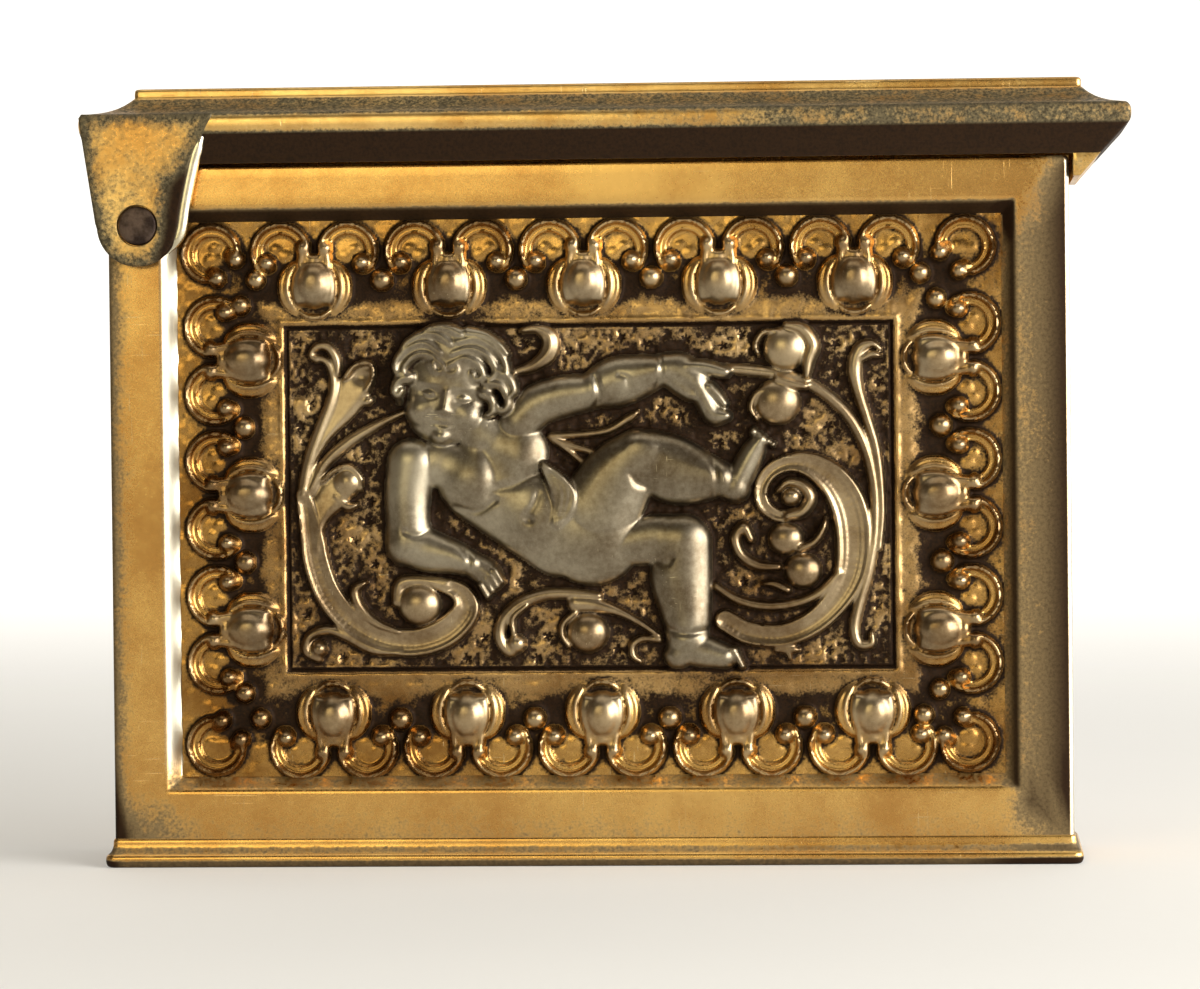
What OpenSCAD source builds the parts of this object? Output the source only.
// Flat brass needle case with a swinging lid and four rising packet holders.
// Z is up, X runs along the case, -Y is the front. The origin is the centre of the foot's underside.

/* [Case] */
// Width of the case body
body_w = 64; // [63:0.5:66]
// Depth of the case body, front face to back face
body_d = 11; // [11:0.1:11.6]
// Height of the case body's top edge above the surface it stands on
body_top = 46.8; // [46.4:0.1:48]
// Thickness of the sheet brass
sheet = 0.5; // [0.4:0.05:0.55]
// How far the foot stands out past the body
foot_overhang = 0.6; // [0.3:0.1:1]
// Height of the foot's moulding
foot_h = 1.9; // [1.7:0.1:2.2]

/* [Window] */
// Width of the window in the front and back frames
window_w = 56.7; // [54:0.1:56.7]
// Height of the window
window_h = 38.8; // [36:0.1:38.8]
// Height of the window's centre
window_z = 24.5; // [24:0.1:25]
// How far the embossed plate lies below the frame's face
recess = 0.9; // [0.5:0.1:0.9]
// Width of the bevel between the frame and the plate
bevel = 0.85; // [0.6:0.05:1.2]
// Height of the buds above the plate's ground
bud_h = 1.35; // [0.8:0.05:1.5]

/* [Lid] */
// Height of the lid's top
lid_top = 52.1; // [52:0.1:53]
// Depth of the lid over its moulding
lid_d = 13.4; // [13.4:0.1:14]
// How far the lid stands out past the case's left end
lid_left = 1.7; // [1.6:0.1:2]
// How far the lid's thumb end stands out past the case's right end
lid_right = 4.1; // [3.6:0.1:4.6]
// How far the lid swings open
lid_swing = 100; // [60:1:100]
// Angle of the lid as drawn
lid_angle = 0; // [0:1:100]

/* [Lift] */
// Angle that the lifter bar has turned through when the lid is fully open
bar_swing = 18; // [10:1:18]
// Throw of the crank on the lid's pivot
crank_r = 1.82; // [1.7:0.01:1.9]

/* [Hidden] */

// Colours
brass = "#c09040";
old_brass = "#8f7440";
dark_brass = "#a07c3c";
steel = "#4a4240";

eps = 0.01;
fine = 64;

// Case walls
half_w = body_w / 2;
half_d = body_d / 2;
floor_z = 1;                              // top of the foot's flat plate
wall_x = half_w - sheet;                  // inner face of the side walls
frame_in = half_d - sheet;                // inner face of the front and back frames
plate_out = half_d - recess;              // ground of the embossed plate
plate_in = plate_out - sheet;             // back of the embossed plate
liner_t = 0.3;
clear_d = plate_in - liner_t;             // half of the clear depth inside
field_w = window_w - 2 * bevel;
field_h = window_h - 2 * bevel;
plate_lap = 0.5;                          // how far the plate reaches behind the bevel

// Lid pivot
pivot = [-half_w + 2.2, body_top - 4];
rivet_head_r = 1.3;
rivet_r = 0.9;
running = 0.05;                           // radial play of a turning fit
ear_t = 0.55;
ear_in = lid_d / 2 - ear_t;
ear_r = 2.75;
washer_out = ear_in - 0.03;

// Lift
bar_pivot = [-half_w + 1.7, floor_z + 2.4];
bar_half_h = 0.9;
bar_half_d = 1.5;
bar_pin_r = 0.6;
bar_end_x = 29.5;
rod_y = [1.8, 2.6];
rod_pin_r = 0.35;
rod_pin_arm = 8.6;                        // from the bar's pivot to the pin that lifts it
rod_gap = 0.1;
crank_start = -lid_swing / 2;
crank_pin_r = 0.45;
slot_play = 0.12;
crank_y = [0.8, 1.6];

// Packet holders, counted from the pivot end
holders = 4;
rack_x = [-26.05, wall_x + 0.15];         // middle of the first divider, and of one past the last
pitch = (rack_x[1] - rack_x[0]) / holders;
divider_t = 0.3;
holder_w = pitch - divider_t - 0.3;
holder_half_d = clear_d - 0.15;
holder_t = 0.35;
holder_foot_h = 2.6;
foot_r = 0.5;
holder_bottom = bar_pivot[1] + bar_half_h + 0.05 + holder_foot_h;
holder_top = body_top - 0.8;
function holder_x(i) = rack_x[0] + pitch * (i + 0.5);

// Lid moulding: [height below the top, inset front and back, inset left, inset right]
lid_outside = [
    [5.2, 0.7, 0.5, 2.0], [3.2, 0.15, 0.1, 0.15], [2.7, 0, 0, 0], [2.2, 0.05, 0.05, 0.05],
    [1.85, 0.3, 0.3, 0.3], [1.75, 0.6, 0.6, 0.6], [1.65, 1.2, 1.2, 1.2], [1.45, 1.9, 1.9, 1.9],
    [1.15, 2.5, 2.5, 2.5], [0.75, 2.95, 2.95, 2.95], [0.7, 3.2, 3.2, 3.2], [0.15, 3.2, 3.2, 3.2],
    [0, 3.4, 3.4, 3.4]
];
lid_inside = [
    [5.3, 1.1, 1.0, 2.6], [3.1, 0.65, 0.6, 0.7], [2.3, 0.6, 0.6, 0.6], [2.15, 1.15, 1.15, 1.15],
    [1.75, 2.5, 2.5, 2.5], [1.3, 3.3, 3.3, 3.3], [0.7, 3.65, 3.65, 3.65], [0.6, 3.7, 3.7, 3.7]
];
lid_x = [-half_w - lid_left, half_w + lid_right];

// Foot moulding: [height, overhang]
foot_outside = [
    [0, foot_overhang - 0.25], [0.25, foot_overhang], [0.8, foot_overhang],
    [1.05, foot_overhang * 0.7], [1.3, foot_overhang * 0.35], [foot_h, 0.12]
];

// A solid through rectangles at rising heights: each is [z, x low, x high, half depth]
module tiers(rings) {
    n = len(rings);
    points = [for (r = rings) each [
        [r[1], -r[3], r[0]], [r[2], -r[3], r[0]], [r[2], r[3], r[0]], [r[1], r[3], r[0]]
    ]];
    sides = [for (i = [0:n - 2], k = [0:3])
        [4 * i + k, 4 * i + 4 + k, 4 * i + 4 + (k + 1) % 4, 4 * i + (k + 1) % 4]];
    last = 4 * (n - 1);
    polyhedron(points, concat([[0, 1, 2, 3], [last + 3, last + 2, last + 1, last]], sides));
}

// A cylinder along Y from y0 to y1, at [x, z]
module rod_along_y(at, r, y0, y1) {
    translate([at[0], y0, at[1]]) rotate([-90, 0, 0]) cylinder(r = r, h = y1 - y0, $fn = fine);
}

// A flat outline in X and Z, given thickness from y0 to y1
module slab(y0, y1) {
    translate([0, y1, 0]) rotate([90, 0, 0]) linear_extrude(y1 - y0) children();
}

module block(x, y, z) {
    translate([x[0], y[0], z[0]]) cube([x[1] - x[0], y[1] - y[0], z[1] - z[0]]);
}

// Two discs joined by a straight web, in the plane of the drawing
module link_outline(a, ra, b, rb, web) {
    d = norm(b - a);
    translate(a) circle(ra, $fn = fine);
    translate(b) circle(rb, $fn = fine);
    translate(a) rotate(atan2(b[1] - a[1], b[0] - a[0])) translate([0, -web / 2]) square([d, web]);
}

// Points of a cubic curve from a to d, with b and c as its handles; d itself is left out
function curve(a, b, c, d, steps) = [for (i = [0:steps - 1]) let (t = i / steps, u = 1 - t)
    u * u * u * a + 3 * u * u * t * b + 3 * u * t * t * c + t * t * t * d];

// ---- Case ----

module base_plate() {
    color(brass) difference() {
        tiers([for (f = foot_outside) [f[0], -half_w - f[1], half_w + f[1], half_d + f[1]]]);
        block([-half_w, half_w], [-half_d, half_d], [floor_z, foot_h + 1]);
    }
}

// Left end, floor and right end, bent from one strip
module side_band() {
    color(brass) difference() {
        block([-half_w, half_w], [-frame_in, frame_in], [floor_z, body_top]);
        block([-wall_x, wall_x], [-half_d, half_d], [floor_z + sheet, body_top + 1]);
    }
}

module window_slice(y, grow) {
    translate([0, y, window_z])
        cube([window_w + 2 * grow, eps, window_h + 2 * grow], center = true);
}

// The plain border sheet, dished in round its window; side is -1 for the front and 1 for the back
module frame_sheet(side) {
    slope = bevel / recess;
    color(brass) difference() {
        union() {
            block([-half_w, half_w], side < 0 ? [-half_d, -frame_in] : [frame_in, half_d],
                [floor_z, body_top]);
            hull() {
                window_slice(side * (frame_in + eps), sheet * 0.6);
                window_slice(side * (plate_out + eps / 2), -bevel + sheet * 0.6);
            }
        }
        hull() {
            window_slice(side * (half_d + sheet), sheet * slope);
            window_slice(side * (plate_out - sheet), -bevel - sheet * slope);
        }
        rod_along_y(pivot, rivet_r + running, -half_d - 1, half_d + 1);
    }
}

module plate_blank(side) {
    block([-field_w / 2 - plate_lap, field_w / 2 + plate_lap],
        side < 0 ? [-plate_out, -plate_in] : [plate_in, plate_out],
        [window_z - field_h / 2 - plate_lap, window_z + field_h / 2 + plate_lap]);
}

// Buds and beads of the border: whole numbers of bud spaces along the field's sides
bud_pitch = 9;
bud_inset = 4.45;
bud_r = 2.4;
bead_r = 0.6;
function row(n) = [for (i = [0:n - 1]) (i - (n - 1) / 2) * bud_pitch];

module cap(x, z, r, h) {
    sink = r - h;
    intersection() {
        translate([x, -plate_out + sink, z]) sphere(r, $fn = fine);
        block([x - r, x + r], [-plate_out - h - 1, -plate_in], [z - r, z + r]);
    }
}

module front_relief() {
    bud_x = field_w / 2 - bud_inset;
    bud_z = field_h / 2 - bud_inset;
    color(old_brass) {
        plate_blank(-1);
        for (s = [-1, 1]) {
            for (x = row(5)) cap(x, window_z + s * bud_z, bud_r, bud_h);
            for (z = row(3)) cap(s * bud_x, window_z + z, bud_r, bud_h);
            for (x = row(4)) cap(x, window_z + s * (bud_z + 0.4), bead_r, bead_r);
            for (z = row(2)) cap(s * (bud_x + 0.4), window_z + z, bead_r, bead_r);
        }
    }
}

module back_panel() {
    margin = 8;
    color(old_brass) {
        plate_blank(1);
        block([margin / 2 - field_w / 2, field_w / 2 - margin / 2], [plate_out - eps, plate_out + 0.3],
            [window_z + margin / 2 - field_h / 2, window_z + field_h / 2 - margin / 2]);
    }
}

// Flat lining that the holders slide against; side is -1 for the front and 1 for the back
module liner(side) {
    color(dark_brass) difference() {
        block([-wall_x, wall_x], side < 0 ? [-plate_in, -clear_d] : [clear_d, plate_in],
            [floor_z + sheet, body_top - 0.5]);
        rod_along_y(pivot, rivet_r + running, -half_d - 1, half_d + 1);
        rod_along_y(bar_pivot, bar_pin_r, -half_d - 1, half_d + 1);
    }
}

// Upright between holders, slotted below so that the lifter bar can rise through it
module divider(i) {
    x = rack_x[0] + pitch * i;
    slot_top = bar_pivot[1] + bar_half_h + (x + divider_t - bar_pivot[0]) * tan(bar_swing) + 0.9;
    slot_half = i == 0 ? rod_y[1] + 0.2 : bar_half_d + 0.3;
    color(dark_brass) difference() {
        block([x - divider_t / 2, x + divider_t / 2], [-clear_d, clear_d],
            [floor_z + sheet, holder_top - 0.5]);
        block([x - 1, x + 1], [-slot_half, slot_half], [0, i == 0 ? slot_top + 1.4 : slot_top]);
    }
}

module washer(side) {
    color(brass) difference() {
        rod_along_y(pivot, 2.2, side < 0 ? -washer_out : half_d, side < 0 ? -half_d : washer_out);
        rod_along_y(pivot, rivet_r + running, -lid_d, lid_d);
    }
}

module lifter_pivot_pin() {
    color(steel) rod_along_y(bar_pivot, bar_pin_r, -plate_in, plate_in);
}

// Two loops on the back lining that keep the lift rod upright
module rod_guides() {
    inner = [-28.35, -26.65];
    wall = 0.3;
    play = 0.1;
    color(dark_brass) for (z = [13, 33]) difference() {
        block([inner[0] - wall, inner[1] + wall], [rod_y[0] - play - wall, clear_d], [z, z + 2.5]);
        block(inner, [rod_y[0] - play, rod_y[1] + play], [z - 1, z + 4]);
    }
}

// ---- Lid ----

function lid_rings(profile) = [for (p = profile) [
    lid_top - p[0], lid_x[0] + p[2], lid_x[1] - p[3], lid_d / 2 - p[1]
]];

// Outline of an ear, from the pivot's centre: an S-curved inner edge, and a leaning outer one
module ear_outline() {
    top = lid_top - 2.7 - pivot[1];
    neck = [3.1, 1.9];
    shoulder = [4.9, 6.4];
    circle(ear_r, $fn = fine);
    polygon(concat(
        [[lid_x[0] - pivot[0], top], [-ear_r, 0], [ear_r, 0]],
        curve([ear_r, 0], [ear_r, 0.8], neck - [0.2, 0.6], neck, 5),
        curve(neck, neck + [0.5, 1.5], shoulder - [0.2, 1.6], shoulder, 8),
        [shoulder, [shoulder[0], top]]
    ));
}

module lid_ear(side) {
    slab(side < 0 ? -lid_d / 2 : ear_in, side < 0 ? -ear_in : lid_d / 2)
        translate(pivot) ear_outline();
}

// Lip under the thumb end, closed by a cheek at the front and back
module thumb_lip() {
    low = body_top - 1.4;
    top = lid_top - 5.1;
    right = lid_x[1];
    out = lid_d / 2 - 0.7;
    difference() {
        slab(-out, out)
            polygon([[half_w + 0.2, low], [right - 3.4, low], [right - 2, top], [half_w + 0.2, top]]);
        slab(-out + 0.4, out - 0.4)
            polygon([[half_w, low], [right - 3.9, low], [right - 2.5, top + 0.1], [half_w, top + 0.1]]);
    }
}

// Short skirt over the pivot end: it meets the case's end and stops the lid fully open
module stop_skirt() {
    out = lid_d / 2 - 0.7;
    left = lid_x[0];
    slab(-out, out)
        polygon([[left + 0.8, lid_top - 6.3], [left + 1.2, lid_top - 6.3], [left + 1.1, lid_top - 5],
            [left + 0.5, lid_top - 5]]);
}

module lid_shell() {
    color(brass) difference() {
        union() {
            difference() {
                tiers(lid_rings(lid_outside));
                tiers(lid_rings(lid_inside));
            }
            for (side = [-1, 1]) lid_ear(side);
            thumb_lip();
            stop_skirt();
        }
        rod_along_y(pivot, rivet_head_r + 0.03, -lid_d, lid_d);
    }
}

// The pivot turns with the lid: a thin shaft through the case, with its heads staked in the ears
module pivot_rivet() {
    color(steel) {
        rod_along_y(pivot, rivet_r, -ear_in - eps, ear_in + eps);
        rod_along_y(pivot, rivet_head_r, -lid_d / 2 + 0.05, -ear_in);
        rod_along_y(pivot, rivet_head_r, ear_in, lid_d / 2 - 0.05);
    }
}

crank_at = pivot + crank_r * [cos(crank_start), sin(crank_start)];

module lid_crank() {
    color(brass) difference() {
        slab(crank_y[0], crank_y[1]) link_outline(pivot, 1.5, crank_at, 0.75, 1.3);
        rod_along_y(pivot, rivet_r, -1, 3);
        rod_along_y(crank_at, crank_pin_r, -1, 3);
    }
}

module crank_pin() {
    color(steel) {
        rod_along_y(crank_at, crank_pin_r, crank_y[0], rod_y[1] + 0.15);
        rod_along_y(crank_at, crank_pin_r + 0.25, rod_y[1] + 0.1, rod_y[1] + 0.45);
    }
}

// ---- Lift ----

lift_pin_at = [bar_pivot[0] + rod_pin_arm, bar_pivot[1] - bar_half_h - rod_gap - rod_pin_r];

// Upright strip: a fork at its head takes the crank pin, and its foot reaches under the lifter bar
module lift_rod() {
    strip = [-28.2, -26.8];
    fork = [pivot[0] + 1.02, strip[1] + 0.2];
    half_slot = crank_pin_r + slot_play;
    prong = 0.7;
    color(brass) difference() {
        slab(rod_y[0], rod_y[1]) union() {
            translate([fork[0], crank_at[1] - half_slot - prong])
                square([fork[1] - fork[0], 2 * (half_slot + prong)]);
            translate([strip[0], lift_pin_at[1] - 0.45])
                square([strip[1] - strip[0], crank_at[1] - lift_pin_at[1]]);
            translate([strip[0], lift_pin_at[1] - 0.45])
                square([lift_pin_at[0] - strip[0], 1.1]);
            translate(lift_pin_at + [0, 0.1]) circle(0.55, $fn = fine);
        }
        block([fork[0] - 1, -27.4], [0, 5], [crank_at[1] - half_slot, crank_at[1] + half_slot]);
        rod_along_y(lift_pin_at, rod_pin_r, 0, 5);
    }
}

module lift_rod_pin() {
    color(steel) rod_along_y(lift_pin_at, rod_pin_r, -bar_half_d, rod_y[1]);
}

module lifter_bar() {
    color(brass) difference() {
        slab(-bar_half_d, bar_half_d) union() {
            translate(bar_pivot) circle(bar_half_h + 0.2, $fn = fine);
            translate([bar_pivot[0], bar_pivot[1] - bar_half_h])
                square([bar_end_x - bar_half_h - bar_pivot[0], 2 * bar_half_h]);
            translate([bar_end_x - bar_half_h, bar_pivot[1]]) circle(bar_half_h, $fn = fine);
        }
        rod_along_y(bar_pivot, bar_pin_r + running, -5, 5);
    }
}

// Open-topped sleeve for one packet, with a finger notch and a round-nosed foot that rides on the bar
module packet_holder(i) {
    x = holder_x(i);
    wide = holder_w / 2;
    notch_r = 3;
    color(dark_brass) {
        difference() {
            block([x - wide, x + wide], [-holder_half_d, holder_half_d], [holder_bottom, holder_top]);
            block([x - wide + holder_t, x + wide - holder_t],
                [-holder_half_d + holder_t, holder_half_d - holder_t],
                [holder_bottom + holder_t, holder_top + 1]);
            rod_along_y([x, holder_top], notch_r, -holder_half_d - 1, -holder_half_d + 1);
        }
        slab(-bar_half_d, bar_half_d) {
            translate([x - foot_r, holder_bottom - holder_foot_h + foot_r])
                square([2 * foot_r, holder_foot_h - foot_r + eps]);
            translate([x, holder_bottom - holder_foot_h + foot_r]) circle(foot_r, $fn = fine);
        }
    }
}

// Turns the lid as drawn, in a look at the whole model
module swung() {
    translate([pivot[0], 0, pivot[1]]) rotate([0, -lid_angle, 0])
        translate([-pivot[0], 0, -pivot[1]]) children();
}

base_plate();
side_band();
frame_sheet(-1);  // front_frame
frame_sheet(1);  // back_frame
front_relief();
back_panel();
liner(-1);  // front_liner
liner(1);  // back_liner
for (i = [0:holders - 1]) {
    divider(i);
    packet_holder(i);
}
washer(-1);  // front_washer
washer(1);  // back_washer
lifter_pivot_pin();
rod_guides();
swung() lid_shell();
swung() pivot_rivet();
swung() lid_crank();
swung() crank_pin();
lift_rod();
lift_rod_pin();
lifter_bar();
